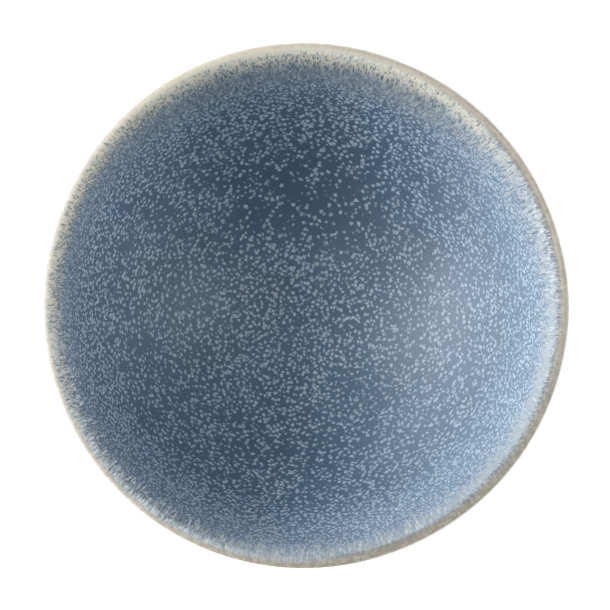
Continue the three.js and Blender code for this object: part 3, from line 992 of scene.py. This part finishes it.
def bare_clay():
    t = Tree("bare_stoneware")
    p = t.object_mm()
    broad = t.noise(p, 0.05, 3.0, 0.55)
    grain = t.noise(p, 1.6, 4.0, 0.7)
    col = t.mix(t.ramp(broad, 0.3, 0.7), (0.375, 0.272, 0.175), (0.450, 0.340, 0.232))
    col = t.mix(t.ramp(grain, 0.35, 0.75, 0.0, 0.45), col, (0.545, 0.445, 0.330))
    iron = t.cells(p, 0.55, "F1", 1.0)
    s = t.nt.nodes.new("ShaderNodeSeparateColor")
    t.put(s.inputs[0], iron.outputs["Color"])
    dot = t.mul(t.ramp(iron.outputs["Distance"], 0.20, 0.10), t.ramp(s.outputs[0], 0.55, 0.60))
    col = t.mix(t.mul(dot, 0.8), col, (0.13, 0.075, 0.045))
    grog = t.cells(p, 1.1, "F1", 1.0)
    g = t.ramp(grog.outputs["Distance"], 0.30, 0.15)
    col = t.mix(t.mul(g, 0.25), col, (0.60, 0.51, 0.40))
    # flashing: the clay toasts darker just under the glaze line
    h = t.split(p)[2]
    r = t.vec("LENGTH", t.combine(t.split(p)[0], t.split(p)[1], 0.0))
    toast = t.mul(t.ramp(h, 6.0, 9.2), t.ramp(r, 36.0, 38.5))
    col = t.mix(t.mul(toast, 0.55), col, (0.250, 0.135, 0.068))
    # fine lines from turning
    lines = t.noise(t.combine(t.mul(r, 2.2), t.mul(h, 2.2), 0.0), 1.0, 3.0, 0.6)
    height = t.add(t.mul(grain, 0.7), t.add(t.mul(lines, 0.6), t.mul(g, 0.5)))
    nrm = t.bump(height, 0.6, 0.00025)
    t.surface(Base_Color=col, Roughness=t.ramp(grain, 0.2, 0.8, 0.82, 0.96, smooth=False), Normal=nrm, Specular_IOR_Level=0.35)
    return t.mat


inner.data.materials.append(glaze("inner_blue_glaze", 1))
rim.data.materials.append(glaze("cream_rim_glaze", 0))
outer.data.materials.append(glaze("outer_blue_glaze", -1))
body.data.materials.append(bare_clay())

for ob, node, slot in (
    (inner, "inner_glaze", "inner_blue_glaze"),
    (rim, "rim_glaze", "cream_rim_glaze"),
    (outer, "outer_glaze", "outer_blue_glaze"),
    (body, "stoneware_body", "bare_stoneware"),
):
    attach(ob, "root")
    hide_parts(node)

# ---- floor, light and camera ---------------------------------------------------------------
scene = bpy.context.scene
scene.view_settings.view_transform = "Standard"
scene.view_settings.look = "None"
scene.view_settings.exposure = 0.0
scene.view_settings.gamma = 1.0

bpy.ops.mesh.primitive_plane_add(size=16.0, location=(0, 0, -0.0002))
floor = bpy.context.object
floor.name = "floor"
ft = Tree("floor_paper")
fp = ft.object_mm()
fcol = ft.mix(ft.ramp(ft.noise(fp, 0.02, 2.0, 0.5), 0.3, 0.7), (0.80, 0.80, 0.80), (0.82, 0.82, 0.82))
ft.surface(Base_Color=fcol, Roughness=0.9, Specular_IOR_Level=0.2)
floor.data.materials.append(ft.mat)

only_floor = bpy.data.collections.new("lit_floor")
only_floor.objects.link(floor)


def softbox(name, azimuth, elevation, power, colour=(1, 1, 1), size=0.55, distance=1.2):
    """A round diffuser aimed at the bowl; azimuth counterclockwise from +X, from above."""
    a, e = math.radians(azimuth), math.radians(elevation)
    d = Vector((math.cos(a) * math.cos(e), math.sin(a) * math.cos(e), math.sin(e)))
    light = bpy.data.lights.new(name, "AREA")
    light.shape, light.size = "DISK", size
    light.energy, light.color = power, colour
    ob = bpy.data.objects.new(name, light)
    scene.collection.objects.link(ob)
    ob.location = d * distance + Vector((0, 0, 0.04))
    ob.rotation_euler = d.to_track_quat("Z", "Y").to_euler()
    return ob


# one long bank of diffusers on the left, low, and a weaker one on the right
for n, (az, el, power, *tint) in enumerate(
    (
        (180, 26, 13.7),
        (165, 46, 0.5),
        (150, 26, 5.9),
        (150, 8, 2.3),
        (135, 15, 1.2),
        (210, 8, 5.4),
        (192, 60, 1.8),
        (0, 8, 3.2),
        (0, 26, 1.6),
        (0, 40, 2.3, (0.90, 1.0, 1.03)),
        (0, 66, 2.1, (0.93, 1.0, 1.02)),
        (120, 8, 0.6),
        (330, 8, 4.6),
    )
):
    softbox("soft_%02d" % n, az, el, power, *tint)

sun = bpy.data.lights.new("floor_wash", "SUN")
sun.energy, sun.angle = 4.6, math.radians(20)
sun_ob = bpy.data.objects.new("floor_wash", sun)
scene.collection.objects.link(sun_ob)
sun_ob.location = (0, 0, 2)
sun_ob.light_linking.receiver_collection = only_floor

world = bpy.data.worlds.new("studio")
scene.world = world
world.use_nodes = True
wn = world.node_tree
wn.nodes.clear()
wo = wn.nodes.new("ShaderNodeOutputWorld")
seen = wn.nodes.new("ShaderNodeBackground")
seen.inputs[0].default_value = (1.0, 1.0, 1.0, 1)
seen.inputs[1].default_value = 1.05
lit = wn.nodes.new("ShaderNodeBackground")
wt = wn.nodes.new("ShaderNodeTexCoord")
ws = wn.nodes.new("ShaderNodeSeparateXYZ")
wn.links.new(wt.outputs["Generated"], ws.inputs[0])
wr = wn.nodes.new("ShaderNodeMapRange")
wr.interpolation_type = "SMOOTHSTEP"
wr.inputs["From Min"].default_value = 0.05
wr.inputs["From Max"].default_value = 0.95
wr.inputs["To Min"].default_value = 0.03
wr.inputs["To Max"].default_value = 0.02
wn.links.new(ws.outputs[2], wr.inputs["Value"])
lit.inputs[0].default_value = (0.93, 0.97, 1.0, 1)
wn.links.new(wr.outputs[0], lit.inputs[1])
wm = wn.nodes.new("ShaderNodeMixShader")
wl = wn.nodes.new("ShaderNodeLightPath")
wn.links.new(wl.outputs["Is Camera Ray"], wm.inputs[0])
wn.links.new(lit.outputs[0], wm.inputs[1])
wn.links.new(seen.outputs[0], wm.inputs[2])
wn.links.new(wm.outputs[0], wo.inputs[0])

# straight down, far enough away that the wall doesn't show past the lip
DIST = 1.10
cam = bpy.data.cameras.new("camera")
cam.type = "PERSP"
cam.sensor_width = 36.0
widest_z = HEIGHT - LIP_OUT
cam.lens = (262.97 / 610 * 36.0) * (DIST * 1000) / RIM_R
cam.clip_start, cam.clip_end = 0.05, 30.0
cam_ob = bpy.data.objects.new("camera", cam)
scene.collection.objects.link(cam_ob)
px = RIM_R / 262.97 * MM
cam_ob.location = (-0.73 * px, 0.80 * px, widest_z * MM + DIST)
cam_ob.rotation_euler = (0, 0, 0)
scene.camera = cam_ob
